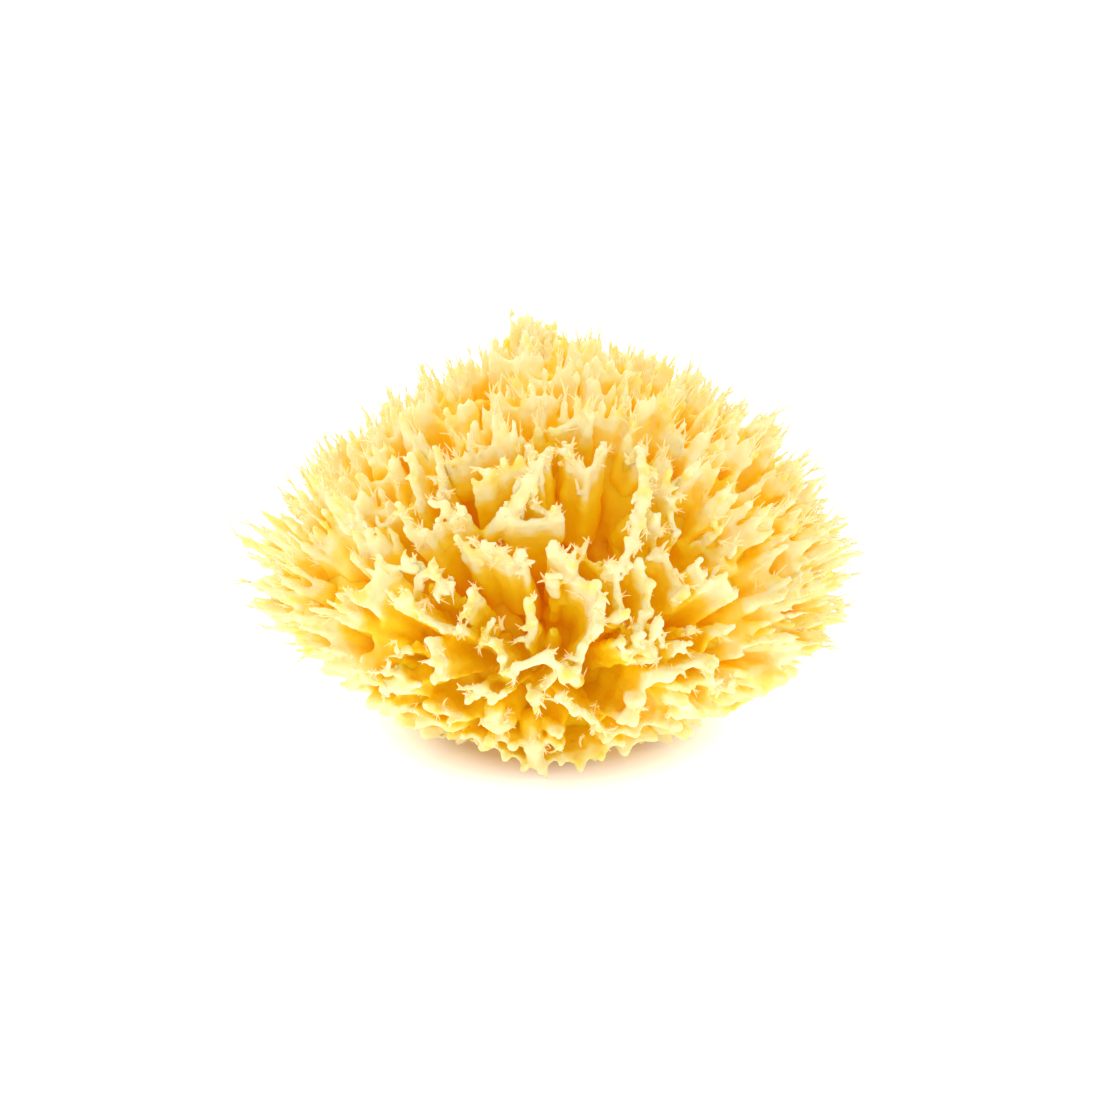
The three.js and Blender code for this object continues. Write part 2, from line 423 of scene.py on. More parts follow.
def scatter_tips():
    """Places for the tufts over the outline, none closer to another than the spacing there."""
    directions = unit(rng.standard_normal((TUFT_TRIES, 3)))
    places = at_level(HEART, directions, 1.0)
    gaps = mix(*TUFT_GAP, front_share(directions))
    rims = np.array([spot(*place) for _, rim in FRONT_WALLS for place in rim])
    shafts = hollow_shafts(0.5)
    kept, kept_gaps = np.zeros((0, 3)), np.zeros(0)
    for direction, place, gap in zip(directions, places, gaps):
        if place[2] < LOWEST_TIP:
            continue
        if len(kept) and (((kept - place) ** 2).sum(1) < gap * gap).any():
            continue
        if (((rims - place) ** 2).sum(1) < CLEAR_OF_RIMS).any():
            continue
        if any(np.linalg.norm(np.cross(place - HEART, axis)) < mouth and direction @ axis > 0
               for axis, mouth in shafts):
            continue
        kept = np.vstack([kept, place])
        kept_gaps = np.append(kept_gaps, gap)
    return kept, kept_gaps


def roots_of(tips):
    """Where tufts leave the core: lower than their tips as seen from the heart, so that they lean up."""
    directions = unit(tips - HEART)
    level = np.hypot(directions[:, 0], directions[:, 1])
    drop = np.radians(mix(*ROOT_DROP, smoothstep(directions[:, 0], -0.8, 0.8))) * level
    rise = np.arctan2(directions[:, 2], level) - drop
    around = directions[:, :2] / np.maximum(level, 1e-6)[:, None]
    lower = np.column_stack([around * np.cos(rise)[:, None], np.sin(rise)])
    return at_level(HEART, lower, ROOT_LEVEL)


def taper(shape, count, gap):
    """Radii at even steps along a tuft."""
    return gap * np.interp(np.linspace(0, 1, count), *shape)


def tuft_line(root, end, bend, wander, count=7):
    """A bent, slightly wandering chain of points from a root to an end."""
    share = np.linspace(0, 1, count)[:, None]
    side = unit(np.cross(end - root, rng.standard_normal(3)))
    points = mix(root, end, share) + side * bend * np.sin(2.8 * share)
    return points + wander * rng.standard_normal((count, 3)) * np.sin(3.0 * share)


def along(points, share):
    """The point part of the way along a chain of points."""
    at = share * (len(points) - 1)
    i = min(int(at), len(points) - 2)
    return mix(points[i], points[i + 1], at - i)


def within_reach(start, end, level):
    """The end, drawn back if it lies outside this level of the outline."""
    beyond = outline_level(end)
    return end if beyond < level else mix(start, end, max(0.35, 1 - (beyond - level) * 2.2))


def grow_fan(region, points, gap, level=1.06):
    """A tuft of the flanks and the crown: a thin sheet whose edge runs out into long pointed blades."""
    root, end = points[0], points[-1]
    length = np.linalg.norm(end - root)
    out = (end - root) / length
    side = unit(np.cross(out, rng.standard_normal(3)))
    across = np.cross(out, side)
    bow = rng.uniform(-2.5, 2.5)
    blades = []
    for place in np.linspace(-1, 1, rng.integers(3, 6)):
        place = place + rng.uniform(-0.15, 0.15)
        foot = root + side * place * 0.30 * gap
        tip = root + out * length * (1.13 - rng.uniform(0.0, 0.18) - 0.07 * place * place)
        tip = within_reach(foot, tip + side * place * 0.62 * gap + across * bow * place * place, level)
        blade = tuft_line(foot, tip, 0.5 * rng.standard_normal(), 0.25)
        radii = np.maximum(taper(BLADE_TAPER, len(blade), gap), THINNEST_BLADE)
        region.limbs.append((blade, radii, 1.2))
        region.frays.append((blade[-2], blade[-1]))
        if rng.random() < 0.5:
            foot = along(blade, rng.uniform(0.45, 0.7))
            spur = unit(out + unit(np.cross(out, rng.standard_normal(3))) * rng.uniform(0.2, 0.5))
            spur = within_reach(foot, foot + spur * length * rng.uniform(0.2, 0.35), 1.02)
            region.limbs.append((np.array([foot, spur]), gap * np.array([0.12, 0.03]), 0.7))
            region.frays.append((foot, spur))
        blades.append(blade[[0, -1]])
    for left, right in zip(blades[:-1], blades[1:]):
        region.webs.append((left, right, rng.uniform(0.55, 0.8), 0.15, (1.5, 0.45), 1.2))


def grow_stub(region, points, gap):
    """A blunt bump of the foot."""
    points = mix(points[0], points, 0.94)
    radii = taper(STUB_TAPER, len(points), gap) * (1 + 0.15 * rng.standard_normal(len(points)))
    region.limbs.append((points, radii, 2.0))
    fray_tip(region, points, unit(points[-1] - points[0]), rng.integers(0, 3))


def grow_post(region, points, gap):
    """A post of the front: it bends over and ends in a few rough prongs."""
    out = unit(points[-1] - points[0])
    hook = unit(np.cross(out, rng.standard_normal(3)))
    points = points + hook * rng.uniform(0, 2.2) * np.linspace(0, 1, len(points))[:, None] ** 3
    radii = taper(POST_TAPER, len(points), gap) * (1 + 0.15 * rng.standard_normal(len(points)))
    region.limbs.append((points, np.maximum(radii, THINNEST_POST), 2.0))
    region.frays.append((points[-2], points[-1]))
    fray_tip(region, points, out, rng.integers(2, 6))


def fray_tip(region, points, out, count):
    """Splits a limb's end into a few prongs."""
    for _ in range(count):
        foot = along(points, rng.uniform(0.62, 1.0))
        side = unit(np.cross(out, rng.standard_normal(3)))
        length = rng.uniform(2.0, 5.5)
        middle = foot + unit(out * rng.uniform(0.3, 1.1) + side) * length * 0.5
        tip = middle + unit(out * rng.uniform(0.5, 1.6) + side * rng.uniform(-0.6, 0.7)) * length * 0.5
        prong = np.array([foot, middle, tip])
        region.limbs.append((prong, PRONG_RADII * rng.uniform(0.8, 1.2), 0.7))
        region.frays.append((middle, tip))


def region_of(regions, place):
    return max(regions, key=lambda region: region.facing @ unit(place - HEART))


def grow_tufts(regions):
    """The tufts all over the sponge, and the walls and webs between neighbours."""
    tips, gaps = scatter_tips()
    front = front_share(unit(tips - HEART))
    roots = roots_of(tips)
    reach = 1.03 - mix(0.16, 0.26, front) * rng.random(len(tips)) ** 1.8
    ends = roots + (tips - roots) * reach[:, None]
    shafts = hollow_shafts(-1.5)
    for i, (root, end, gap) in enumerate(zip(roots, ends, gaps)):
        region = region_of(regions, tips[i])
        middle = mix(root, end, 0.6) - HEART
        if any(np.linalg.norm(np.cross(middle, axis)) < mouth and middle @ axis > 0
               for axis, mouth in shafts):
            continue
        bend = mix(0.6, 1.2, front[i]) * rng.standard_normal()
        points = tuft_line(root, end, bend, 0.45)
        if rng.random() > smoothstep(tips[i, 2], *FOOT_TOP):
            grow_stub(region, points, gap)
        elif front[i] > rng.uniform(0.2, 0.8):
            grow_post(region, points, gap)
        else:
            grow_fan(region, points, gap)
    for i in range(len(tips)):
        apart = np.linalg.norm(tips - tips[i], axis=1)
        for j in np.nonzero(apart < NEIGHBOURS * gaps[i])[0]:
            if j <= i or rng.random() > JOINED:
                continue
            walled = rng.random() < 0.62 * front[i]
            saddle = rng.uniform(0.74, 0.96) if walled else rng.uniform(0.35, mix(0.80, 0.55, front[i]))
            low = 1 - smoothstep(tips[i, 2], *FOOT_TOP)
            saddle = mix(saddle, rng.uniform(0.75, 1.0), low)
            thickness = mix(1.5, 1.7, front[i]), mix(0.60, 0.85, low)
            pair = np.array([roots[i], ends[i]]), np.array([roots[j], ends[j]])
            region = region_of(regions, tips[i])
            if walled:
                add_wall(region, *pair, saddle, 0.05, thickness)
            else:
                region.webs.append((*pair, saddle, 0.3 * (1 - saddle) + 0.05, thickness, 1.8))


def grow_front_walls(region):
    """The walls that give this sponge its face, each set where it stands."""
    for thickness, rim in FRONT_WALLS:
        posts = []
        for turn, rise, level in rim:
            tip = spot(turn, rise, level)
            foot = spot(0.92 * turn, rise - 15, ROOT_LEVEL)
            points = tuft_line(foot, tip, 0.4 * rng.standard_normal(), 0.25)
            last = 0.68 * thickness * rng.uniform(0.7, 1.15)
            radii = mix(1.1, last, np.linspace(0, 1, len(points)))
            region.limbs.append((points, radii * (1 + 0.10 * rng.standard_normal(len(points))), 1.0))
            fray_tip(region, points, unit(tip - foot), rng.integers(0, 3))
            posts.append(np.array([foot, tip]))
        for left, right in zip(posts[:-1], posts[1:]):
            add_wall(region, left, right, 0.90, 0.08, (1.8, 0.62 * thickness))


def add_wall(region, left, right, saddle, rise, thickness):
    """A wall between two posts, with shreds along its rim."""
    region.webs.append((left, right, saddle, rise, thickness, 1.2))
    width = np.linalg.norm(left[1] - right[1])
    for _ in range(rng.poisson(width / 3.0)):
        share = rng.uniform(0.1, 0.9)
        up = min(saddle + rise * (2 * share - 1) ** 2, 1.0)
        place = mix(mix(left[0], left[1], up), mix(right[0], right[1], up), share)
        out = unit(mix(left[1] - left[0], right[1] - right[0], share))
        add_shred(region, place - out * 0.8, out, rng.uniform(2.0, 4.6))


def add_shred(region, foot, out, length):
    """A short limb that bends over to one side."""
    side = unit(np.cross(out, rng.standard_normal(3)))
    middle = foot + unit(out + side * rng.uniform(0.2, 0.9)) * length * 0.6
    tip = middle + unit(out * rng.uniform(-0.3, 1.2) + side) * length * 0.5
    region.limbs.append((np.array([foot, middle, tip]), SHRED_RADII * rng.uniform(0.8, 1.2), 0.7))
    region.frays.append((middle, tip))


def grow_front_ribbons(region):
    """Frayed ribbons that cross in front of the hollows."""
    for ribbon in FRONT_RIBBONS:
        points = np.array([spot(turn, rise, level) for turn, rise, level, _ in ribbon])
        points += 0.35 * rng.standard_normal(points.shape)
        region.limbs.append((points, np.array([radius for *_, radius in ribbon]), 1.0))
        for start, end in zip(points[:-1], points[1:]):
            fray_tip(region, np.array([start, end]), unit(end - start), 4)


def grow_crown_peaks(region):
    """Tall tufts on the far side of the crown."""
    for x, y, z in CROWN_PEAKS:
        tip = np.array([x, y, z])
        for _ in range(3):
            end = tip + rng.standard_normal(3) * (2.2, 2.2, 1.2)
            points = tuft_line(tip * (0.7, 0.6, 0.62), end, 0.8, 0.4)
            grow_fan(region, points, 5.2, 1.4)


def hollow_out(field, width):
    """Opens the hollows, with lumpy sides."""
    uneven = np.clip(1.1 * field.lumps(7) + 0.6 * field.lumps(3.5), -3, 3)
    for shaft, radii in SHAFTS:
        field.carve(shaft, width * radii, 3.0, uneven)


def hollow_shapes():
    """Chains of points and radii to cut: for each hollow two wandering shafts, with pockets beside them."""
    shafts = []
    for turn, rise, mouth, depth in HOLLOWS + POCKETS:
        out = outwards(turn, rise)
        rim = spot(turn, rise, 1.0)
        shaft = rim + out * np.array([-depth, -0.65 * depth, -0.3 * depth, 0, 8])[:, None]
        shaft[:3] += 0.28 * mouth * rng.standard_normal((3, 3))
        apart = unit(np.cross(out, (1.0, 0.25 * rng.standard_normal(), 0.0))) * 0.42 * mouth
        shafts.append((shaft + apart, mouth * np.array([0.4, 0.55, 0.65, 0.72, 0.9])))
        shafts.append((shaft - apart, mouth * np.array([0.4, 0.5, 0.55, 0.66, 0.8])))
        for _ in range(3):
            start = along(shaft, rng.uniform(0.15, 0.7))
            side = unit(np.cross(out, rng.standard_normal(3)) + 0.4 * out)
            pocket = np.array([start, start + side * mouth * rng.uniform(0.7, 1.2)])
            shafts.append((pocket, mouth * np.array([0.6, 0.45])))
    return shafts


def finish(field, coarse, fine):
    """Gentle swells on the walls and crumbs near the tips, and the flat cut."""
    near_tips = smoothstep(outline_level(field.points()), 0.75, 0.95).astype(np.float32)
    field.distance += coarse * field.lumps(4.2)
    field.distance += mix(0.3 * fine, fine, near_tips) * field.lumps(1.6)
    field.distance += 0.8 * fine * near_tips * field.lumps(0.95)
    drawn_in = 0.6 * (1 - smoothstep(field.axes[2], 0, 13))
    field.distance += drawn_in.astype(np.float32)[None, None, :]
    field.distance = np.maximum(field.distance, -field.axes[2][None, None, :])


def grow_core():
    """The dense middle, lower at the front, where the walls stand tall."""
    field = Field(LOW, HIGH, CORE_VOXEL)
    points = field.points()
    level = outline_level(points).astype(np.float32)
    reach = np.linalg.norm(points - HEART, axis=-1).astype(np.float32)
    above = smoothstep(points[..., 2], -2, 28).astype(np.float32)
    front = front_share(unit(points - HEART + 1e-3))
    floor = mix(0.88, 0.77 + 0.03 * field.lumps(11) - 0.15 * front, above)
    distance = (level - floor) * reach / np.maximum(level, 0.05)
    field.distance = np.clip(distance, -20, FAR).astype(np.float32)
    hollow_out(field, 1.0)
    finish(field, 0.7, 0.3)
    return field


def mesh_from_field(field, name):
    """The closed surface where the field's distance is zero."""
    distance = np.pad(np.clip(field.distance[1:-1, 1:-1, 1:-1], -FAR, FAR), 1, constant_values=FAR)
    grid = openvdb.FloatGrid(FAR)
    grid.copyFromArray(distance)
    grid.transform = openvdb.createLinearTransform(voxelSize=field.voxel)
    points, triangles, quads = grid.convertToPolygons(0.0, 0.0)
    mesh = bpy.data.meshes.new(name)
    mesh.from_pydata(((points + field.low) * MM).tolist(), [], triangles.tolist() + quads.tolist())
    return mesh


def without_crumbs(mesh):
    """The mesh less any bit that hangs free, and any bubble sealed inside."""
    edges = np.zeros(len(mesh.edges) * 2, np.int32)
    mesh.edges.foreach_get("vertices", edges)
    first, second = edges.reshape(-1, 2).T
    group = np.arange(len(mesh.vertices))
    while (group[first] != group[second]).any():
        lowest = np.minimum(group[first], group[second])
        np.minimum.at(group, group[first], lowest)
        np.minimum.at(group, group[second], lowest)
        while (group != group[group]).any():
            group = group[group]
    places = np.zeros(len(mesh.vertices) * 3)
    mesh.vertices.foreach_get("co", places)
    places = places.reshape(-1, 3) / MM
    mesh.calc_loop_triangles()
    faces = np.zeros(len(mesh.loop_triangles) * 3, np.int32)
    mesh.loop_triangles.foreach_get("vertices", faces)
    faces = faces.reshape(-1, 3)
    a, b, c = (places[faces[:, k]] for k in range(3))
    volume = np.zeros(len(places))
    np.add.at(volume, group[faces[:, 0]], (a * np.cross(b, c)).sum(1))
    deepest = np.full(len(places), np.inf)
    np.minimum.at(deepest, group, outline_level(places))
    kept = (volume[group] > 0) & (deepest[group] < ANCHORED)
    faces = faces[kept[faces[:, 0]]]
    number = np.cumsum(kept) - 1
    whole = bpy.data.meshes.new(mesh.name)
    whole.from_pydata((places[kept] * MM).tolist(), [], number[faces].tolist())
    return whole


def thinned(mesh, triangles):
    """A piece of the mesh with at most about this many triangles."""
    piece = bpy.data.objects.new(mesh.name, mesh)
    bpy.context.scene.collection.objects.link(piece)
    count = sum(len(face.vertices) - 2 for face in mesh.polygons)
    reducer = piece.modifiers.new("Thin", "DECIMATE")
    reducer.ratio = min(1.0, triangles / count)
    graph = bpy.context.evaluated_depsgraph_get()
    reduced = bpy.data.meshes.new_from_object(piece.evaluated_get(graph))
    piece.modifiers.clear()
    piece.data = without_crumbs(reduced)
    piece.data.name = piece.name
    return piece


# ---------------------------------------------------------------- frayed ends

def add_bristle(shape, points, radii, sides=3):
    """Draws out a closed rod through the points, starting from a filled circle."""
    points = [Vector(point) for point in points]
    ways = [(end - start).normalized() for start, end in zip(points[:-1], points[1:])]
    ways.append(ways[-1])
    turns = [way.to_track_quat("Z", "Y").to_matrix().to_4x4() for way in ways]
    start = Matrix.Translation(points[0]) @ turns[0]
    made = bmesh.ops.create_circle(shape, cap_ends=True, segments=sides, radius=radii[0], matrix=start)
    face = made["verts"][0].link_faces[0]
    for i in range(1, len(points)):
        drawn = bmesh.ops.extrude_face_region(shape, geom=[face])["geom"]
        corners = [item for item in drawn if isinstance(item, bmesh.types.BMVert)]
        face = next(item for item in drawn if isinstance(item, bmesh.types.BMFace))
        back = turns[i - 1].inverted() @ Matrix.Translation(-points[i - 1])
        thinner = Matrix.Scale(radii[i] / radii[i - 1], 4)
        step = Matrix.Translation(points[i]) @ turns[i] @ thinner @ back
        bmesh.ops.transform(shape, matrix=step, verts=corners)


def fray_shape(name, bristles):
    shape = bmesh.new()
    for points, radii in bristles:
        add_bristle(shape, points, radii)
    bmesh.ops.recalc_face_normals(shape, faces=shape.faces)
    mesh = bpy.data.meshes.new(name)
    shape.to_mesh(mesh)
    shape.free()
    return bpy.data.objects.new(name, mesh)


def curl(length, bend, turn, thick):
    """A bristle that rises from the root and bends over towards one side."""
    side = np.array([math.cos(turn), math.sin(turn), 0])
    share = np.array([0, 0.3, 0.6, 0.85, 1.0])
    angle = bend * share ** 1.3
    steps = np.diff(share, prepend=0)[:, None] * length
    ways = np.sin(angle)[:, None] * side + np.cos(angle)[:, None] * (0, 0, 1)
    return FRAY_ROOT + np.cumsum(steps * ways, 0), thick * np.array([1.0, 0.85, 0.65, 0.45, 0.2])


def splay(count, apart, length, bend, stray, thick):
    """Bristles that spread out from one root, turned about evenly round it."""
    return [
        curl(rng.uniform(*length), rng.uniform(*bend), apart * j + rng.uniform(-stray, stray), thick)
        for j in range(count)
    ]


def fray_shapes():
    """Wisps, hooks, claws and feathers, each a unit long or so and rooted just below the origin."""
    shapes = []
    for k in range(FRAY_SHAPES):
        wisp = [curl(1.25, rng.uniform(0.2, 0.9), 0, 0.07)]
        wisp.append(curl(rng.uniform(0.7, 1.0), rng.uniform(0.2, 0.8), rng.uniform(2, 4), 0.06))
        hook = [curl(1.2, rng.uniform(1.2, 2.2), 0, 0.19)]
        claw = splay(3, 2.1, (0.8, 1.2), (0.5, 1.5), 0.5, 0.16)
        feather = splay(5, 1.26, (0.6, 1.2), (0.3, 1.3), 0.4, 0.065)
        for kind, bristles in ((WISP, wisp), (HOOK, hook), (CLAW, claw), (FEATHER, feather)):
            shapes.append(fray_shape(f"fray_{kind}{k}", bristles))
    return sorted(shapes, key=lambda shape: shape.name)


def scatter_nodes(shapes):
    """Nodes that grow a shape on each point, as its attributes say, and make all of it one mesh."""
    tree = bpy.data.node_groups.new("scatter", "GeometryNodeTree")
    tree.interface.new_socket("Geometry", in_out="INPUT", socket_type="NodeSocketGeometry")
    tree.interface.new_socket("Geometry", in_out="OUTPUT", socket_type="NodeSocketGeometry")

    def stored(name, kind):
        node = make_node(tree, "GeometryNodeInputNamedAttribute", {"Name": name}, data_type=kind)
        return node.outputs["Attribute"]

    points = tree.nodes.new("NodeGroupInput").outputs["Geometry"]
    picked = {"Collection": shapes, "Separate Children": True, "Reset Children": True}
    choice = make_node(tree, "GeometryNodeCollectionInfo", picked).outputs["Instances"]
    way = {"Vector": stored("way", "FLOAT_VECTOR")}
    lean = make_node(tree, "FunctionNodeAlignRotationToVector", way, axis="Z")
    angle = {"Axis": (0, 0, 1), "Angle": stored("spin", "FLOAT")}
    spin = make_node(tree, "FunctionNodeAxisAngleToRotation", angle)
    turned = {"Rotation": lean.outputs["Rotation"], "Rotate By": spin.outputs["Rotation"]}
    turn = make_node(tree, "FunctionNodeRotateRotation", turned, rotation_space="LOCAL")
    grown = make_node(tree, "GeometryNodeInstanceOnPoints", {
        "Points": points,
        "Instance": choice,
        "Pick Instance": True,
        "Instance Index": stored("kind", "INT"),
        "Rotation": turn.outputs["Rotation"],
        "Scale": stored("size", "FLOAT"),
    })
    real = make_node(tree, "GeometryNodeRealizeInstances", {"Geometry": grown.outputs["Instances"]})
    tree.links.new(real.outputs["Geometry"], tree.nodes.new("NodeGroupOutput").inputs["Geometry"])
    return tree


def grow_frays(region, piece, nodes, kinds, length, crowd, spread, reach):
    """A piece with the frayed ends of a region's limbs, rooted where the region's own piece is in reach."""
    skin = KDTree(len(piece.data.vertices))
    for vertex in piece.data.vertices:
        skin.insert(vertex.co, vertex.index)
    skin.balance()
    places, ways = [], []
    for start, end in region.frays:
        out = unit(end - start)
        for _ in range(rng.poisson(crowd)):
            point, _, gap = skin.find(Vector((end - out * rng.uniform(0, 2.5)) * MM))
            if end[2] < LOWEST_FRAY or gap > reach * MM:
                continue
            places.append(np.array(point) / MM - 0.2 * out)
            ways.append(unit(out + spread * rng.standard_normal(3)))
    count = len(places)
    mesh = bpy.data.meshes.new(region.name + "_frays")
    mesh.from_pydata((np.array(places) * MM).tolist(), [], [])
    spins = rng.uniform(0, 2 * math.pi, count)
    sizes = rng.uniform(*length, count) * MM
    picks = rng.choice(kinds, count) * FRAY_SHAPES + rng.integers(0, FRAY_SHAPES, count)
    stored = {
        "way": ("FLOAT_VECTOR", "vector", np.array(ways)),
        "spin": ("FLOAT", "value", spins),
        "size": ("FLOAT", "value", sizes),
        "kind": ("INT", "value", picks),
    }
    for name, (kind, field, values) in stored.items():
        attribute = mesh.attributes.new(name, kind, "POINT")
        attribute.data.foreach_set(field, values.ravel())
    piece = bpy.data.objects.new(mesh.name, mesh)
    bpy.context.scene.collection.objects.link(piece)
    piece.modifiers.new("Scatter", "NODES").node_group = nodes
    graph = bpy.context.evaluated_depsgraph_get()
    piece.data = bpy.data.meshes.new_from_object(piece.evaluated_get(graph))
    piece.modifiers.clear()
    piece.data.name = piece.name
    for name in stored:
        if name in piece.data.attributes:
            piece.data.attributes.remove(piece.data.attributes[name])
    return piece


# ---------------------------------------------------------------- painted shade and glow, which tint the skeleton

def blurred(values, steps):
    """Each value's mean over a cube that reaches this many steps each way."""
    for axis in range(3):
        sums = np.cumsum(values, axis=axis, dtype=np.float32)
        cells = np.arange(values.shape[axis])
        last = np.take(sums, np.clip(cells + steps, 0, cells[-1]), axis)
        first = np.take(sums, np.clip(cells - steps - 1, 0, None), axis)
        values = (last - first) / (2 * steps + 1)
    return values


def occupied(fields):
    """A coarse grid of what is solid in any of the fields."""
    whole = Field(LOW, HIGH, PAINTED_SHADE_VOXEL)
    whole.distance[:] = 0
    for field in fields:
        offsets = [axis - low for axis, low in zip(whole.axes, field.low)]
        cells = [(offset / field.voxel).round().astype(int) for offset in offsets]
        inside = [(c >= 0) & (c < field.shape[k]) for k, c in enumerate(cells)]
        target = np.ix_(*[np.nonzero(i)[0] for i in inside])
        source = np.ix_(*[c[i] for c, i in zip(cells, inside)])
        whole.distance[target] = np.maximum(whole.distance[target], field.distance[source] < 0)
    return whole


def store_painted_shade(piece, whole, near_crowd, wide_crowd):
    """Stores the painted shade of each point, from its depth and from how crowded the space before it is,
    deeper at the front and underneath, and the amount of painted glow.
    """
    count = len(piece.data.vertices)
    places, normals = np.zeros(count * 3), np.zeros(count * 3)
    piece.data.vertices.foreach_get("co", places)
    piece.data.vertices.foreach_get("normal", normals)
    places = places.reshape(-1, 3) / MM
    normals = normals.reshape(-1, 3)

    def before(crowd, step):
        cells = ((places + normals * step - whole.low) / PAINTED_SHADE_VOXEL).astype(int)
        return crowd[tuple(np.clip(cells, 0, whole.shape - 1).T)]

    depth = 1 - outline_level(places)
    directions = unit(places - HEART)
    front = front_share(directions)
    under = smoothstep(directions @ outwards(*UNDER_MIDDLE), *UNDER_EDGE)
    # Painted shade: deeper below the outline and where the space before a point is crowded, and deeper at
    # the front and underneath, which little light reaches
    shelter = np.interp(depth, [0.0, 0.06, 0.16, 0.30, 0.6], [0, 0.08, 0.31, 0.60, 1.0])
    shelter = shelter + 0.6 * (before(near_crowd, 2.0) - 0.3) + 0.6 * (before(wide_crowd, 4.0) - 0.3)
    tint = shelter * mix(0.29, 1.1, np.maximum(front, under)) + 0.18 * under
    # The first of these sets the painted glow in the hollows, the second the painted shade of the base
    # colour
    for name, values in (("buried", shelter * (1 - 0.4 * under)), ("shelter", tint)):
        attribute = piece.data.attributes.new(name, "FLOAT", "POINT")
        attribute.data.foreach_set("value", np.clip(values, 0, 1).astype(np.float32))


# ---------------------------------------------------------------- materials

def make_node(tree, kind, inputs=None, **settings):
    """A node with its settings, and with each named input linked or set."""
    node = tree.nodes.new(kind)
    for name, value in settings.items():
        setattr(node, name, value)
    for name, value in (inputs or {}).items():
        if isinstance(value, bpy.types.NodeSocket):
            tree.links.new(value, node.inputs[name])
        else:
            node.inputs[name].default_value = value
    return node


def ramp(tree, factor, stops):
    node = make_node(tree, "ShaderNodeValToRGB", {"Fac": factor})
    elements = node.color_ramp.elements
    while len(elements) < len(stops):
        elements.new(0.5)
    for element, (position, colour) in zip(elements, stops):
        element.position = position
        element.color = (*colour, 1)
    return node.outputs["Color"]


def spongin_material():
    """Bleached spongin, cream at the tips, with painted shade that turns it golden where it lies sheltered
    and amber in the hollows, and a painted glow there that stands in for light scattered through it.
    """
    material = bpy.data.materials.new("spongin")
    material.cycles.emission_sampling = "NONE"
    material.use_nodes = True
    tree = material.node_tree
    shader = tree.nodes["Principled BSDF"]
    place = make_node(tree, "ShaderNodeTexCoord").outputs["Object"]
    shelter = make_node(tree, "ShaderNodeAttribute", attribute_name="shelter").outputs["Fac"]
    patches = make_node(tree, "ShaderNodeTexNoise", {"Vector": place, "Scale": 160.0, "Detail": 2.0})
    shift = make_node(tree, "ShaderNodeMath", {0: patches.outputs["Fac"], 1: 0.5}, operation="SUBTRACT")
    mottled = {0: shift.outputs[0], 1: 0.35, 2: shelter}
    shade = make_node(tree, "ShaderNodeMath", mottled, operation="MULTIPLY_ADD")
    depth = make_node(tree, "ShaderNodeAttribute", attribute_name="buried").outputs["Fac"]
    grain = make_node(tree, "ShaderNodeTexNoise", {"Vector": place, "Scale": 900.0, "Detail": 3.0})
    rough = {"Height": grain.outputs["Fac"], "Strength": 0.35, "Distance": 0.0004}
    bump = make_node(tree, "ShaderNodeBump", rough)
    # Base colour: the spongin's cream and mottled tone, with painted shade down to amber in sheltered places
    tree.links.new(ramp(tree, shade.outputs[0], PAINTED_SHADE_TINTS), shader.inputs["Base Color"])
    # Painted glow in the hollows, standing in for light scattered through the sponge
    tree.links.new(ramp(tree, depth, PAINTED_GLOWS), shader.inputs["Emission Color"])
    tree.links.new(bump.outputs["Normal"], shader.inputs["Normal"])
    shader.inputs["Emission Strength"].default_value = 1.0
    shader.inputs["Roughness"].default_value = 0.55
    shader.inputs["Specular IOR Level"].default_value = 0.12
    shader.inputs["Subsurface Weight"].default_value = 0.7
    shader.inputs["Subsurface Radius"].default_value = (1.0, 0.75, 0.3)
    shader.inputs["Subsurface Scale"].default_value = 0.004
    return material


def frayed_material():
    """The thinnest fibres, which let light through, with a painted glow that keeps them bright."""
    material = bpy.data.materials.new("spongin_frayed")
    material.cycles.emission_sampling = "NONE"
    material.use_nodes = True
    tree = material.node_tree
    shader = tree.nodes["Principled BSDF"]
    shader.inputs["Base Color"].default_value = (0.99, 0.88, 0.58, 1)
    # Painted glow: the fibres give off warm light, though they are no lamp
    shader.inputs["Emission Color"].default_value = (1.0, 0.80, 0.40, 1)
    shader.inputs["Emission Strength"].default_value = 0.40
    shader.inputs["Roughness"].default_value = 0.5
    shader.inputs["Specular IOR Level"].default_value = 0.1
    through = make_node(tree, "ShaderNodeBsdfTranslucent", {"Color": (1.0, 0.86, 0.5, 1)})
    shares = {0: 0.45, 1: shader.outputs["BSDF"], 2: through.outputs["BSDF"]}
    both = make_node(tree, "ShaderNodeMixShader", shares)
    tree.links.new(both.outputs["Shader"], tree.nodes["Material Output"].inputs["Surface"])
    return material


# ---------------------------------------------------------------- stage

def make_floor():
    """A white floor with a painted warm shadow close round the foot, and a painted glow that brightens it
    further out.
    """
    bpy.ops.mesh.primitive_plane_add(size=FLOOR_SIZE)
    floor = bpy.context.object
    floor.name = "floor"
    white = bpy.data.materials.new("floor_white")
    white.use_nodes = True
    tree = white.node_tree
    shader = tree.nodes["Principled BSDF"]
    place = make_node(tree, "ShaderNodeTexCoord").outputs["Object"]
    away = make_node(tree, "ShaderNodeVectorMath", {0: place}, operation="LENGTH").outputs["Value"]
    share = make_node(tree, "ShaderNodeMath", {0: away, 1: 1 / SHADE_REACH}, operation="MULTIPLY").outputs[0]
    # Painted warm shadow round the foot in the colour, and a painted glow round it that brightens the floor
    # beyond
    tree.links.new(ramp(tree, share, FLOOR_PAINTED_SHADOW), shader.inputs["Base Color"])
    tree.links.new(ramp(tree, share, FLOOR_PAINTED_GLOWS), shader.inputs["Emission Color"])
    shader.inputs["Emission Strength"].default_value = 0.7
    shader.inputs["Roughness"].default_value = 1.0
    shader.inputs["Specular IOR Level"].default_value = 0.0
    floor.data.materials.append(white)


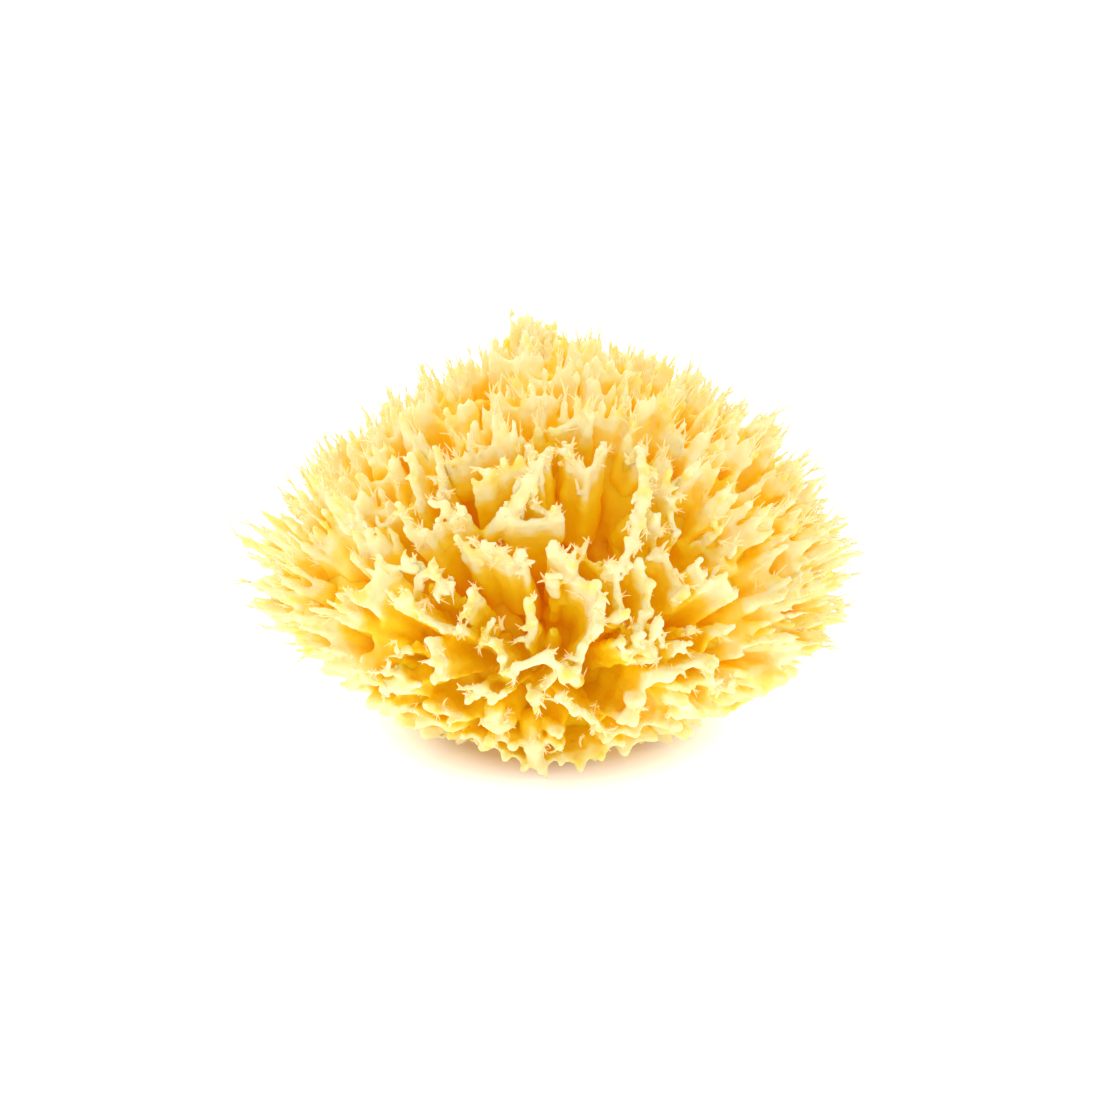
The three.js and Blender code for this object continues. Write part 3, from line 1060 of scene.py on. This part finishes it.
def make_lights():
    """Light from all round, and a weak lamp above and behind."""
    world = bpy.data.worlds.new("studio")
    world.use_nodes = True
    world.node_tree.nodes["Background"].inputs["Color"].default_value = (1, 1, 1, 1)
    world.node_tree.nodes["Background"].inputs["Strength"].default_value = 0.95
    bpy.context.scene.world = world

    disc = bpy.data.lights.new("lamp", "AREA")
    disc.shape = "DISK"
    disc.size = 0.5
    disc.energy = 1.5
    lamp = bpy.data.objects.new("lamp", disc)
    lamp.location = (-0.15, 0.35, 0.6)
    lamp.rotation_euler = (Vector((0, 0, 0.04)) - lamp.location).to_track_quat("-Z", "Y").to_euler()
    bpy.context.scene.collection.objects.link(lamp)


def make_camera():
    lens = bpy.data.cameras.new("camera")
    lens.lens = LENS
    camera = bpy.data.objects.new("camera", lens)
    aim = Vector((0, 0, AIM_HEIGHT))
    elevation = math.radians(ELEVATION)
    away = float(WIDTH) * MM / FILLED * lens.lens / lens.sensor_width
    camera.location = aim + away * Vector((0, -math.cos(elevation), math.sin(elevation)))
    camera.rotation_euler = (aim - camera.location).to_track_quat("-Z", "Y").to_euler()
    bpy.context.scene.collection.objects.link(camera)
    bpy.context.scene.camera = camera


# ---------------------------------------------------------------- the whole sponge

def grow_skeleton():
    """Every region with its limbs and walls in place: the front comes first."""
    regions = [Region(name, outwards(*facing), *detail) for name, facing, *detail in REGIONS]
    named = {region.name: region for region in regions}
    front, crown = named["front"], named["crown"]
    grow_tufts(regions)
    face = Region("face", front.facing, FRONT_VOXEL, 0)
    grow_front_walls(face)
    grow_front_ribbons(face)
    front.late_limbs, front.late_webs = face.limbs, face.webs
    front.frays += face.frays
    grow_crown_peaks(crown)
    return regions


def mesh_skeleton(regions):
    """The core's piece and one for each region, with the fields that they came from."""
    fields = [grow_core()]
    pieces = [thinned(mesh_from_field(fields[0], "core"), CORE_TRIANGLES)]
    for region in regions:
        field = region.field()
        finish(field, 0.16, 0.15 if region.name == "front" else 0.13)
        fields.append(field)
        pieces.append(thinned(mesh_from_field(field, region.name), region.triangles))
    return fields, pieces


def paint_skeleton_shade(pieces, fields):
    """Stores the painted shade and glow on every piece, from how solid the space is close by and further
    round.
    """
    whole = occupied(fields)
    near_crowd = blurred(blurred(whole.distance, 2), 2)
    wide_crowd = blurred(blurred(whole.distance, 5), 5)
    for piece in pieces:
        store_painted_shade(piece, whole, near_crowd, wide_crowd)


def fray_skeleton(regions, pieces):
    """The frayed ends of each region: stout and hooked at the front, long and thin elsewhere."""
    shapes = bpy.data.collections.new("fray_shapes")
    for shape in fray_shapes():
        shapes.objects.link(shape)
    nodes = scatter_nodes(shapes)
    frays = []
    for region, piece in zip(regions, pieces):
        if region.name == "front":
            kinds = [HOOK, CLAW, FEATHER, FEATHER, WISP]
            frays.append(grow_frays(region, piece, nodes, kinds, (1.2, 3.0), 1.5, 0.45, 2.0))
        else:
            frays.append(grow_frays(region, piece, nodes, [WISP], (2.0, 4.5), 1.1, 0.22, 1.2))
    for shape in list(shapes.objects):
        bpy.data.objects.remove(shape)
    bpy.data.collections.remove(shapes)
    bpy.data.node_groups.remove(nodes)
    return frays


def dress(pieces, material):
    """Gives each piece its material, sets it to ride on the root body, and hides the CAD sponge."""
    for piece in pieces:
        piece.data.materials.clear()
        piece.data.materials.append(material)
        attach(piece, "root")
        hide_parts("sponge")


make_camera()
make_floor()
make_lights()
bpy.context.scene.view_settings.view_transform = "Standard"

SHAFTS = hollow_shapes()
regions = grow_skeleton()
fields, pieces = mesh_skeleton(regions)
frays = fray_skeleton(regions, pieces[1:])
for piece in pieces + frays:
    piece.data.shade_smooth()
paint_skeleton_shade(pieces, fields)
dress(pieces, spongin_material())
dress(frays, frayed_material())
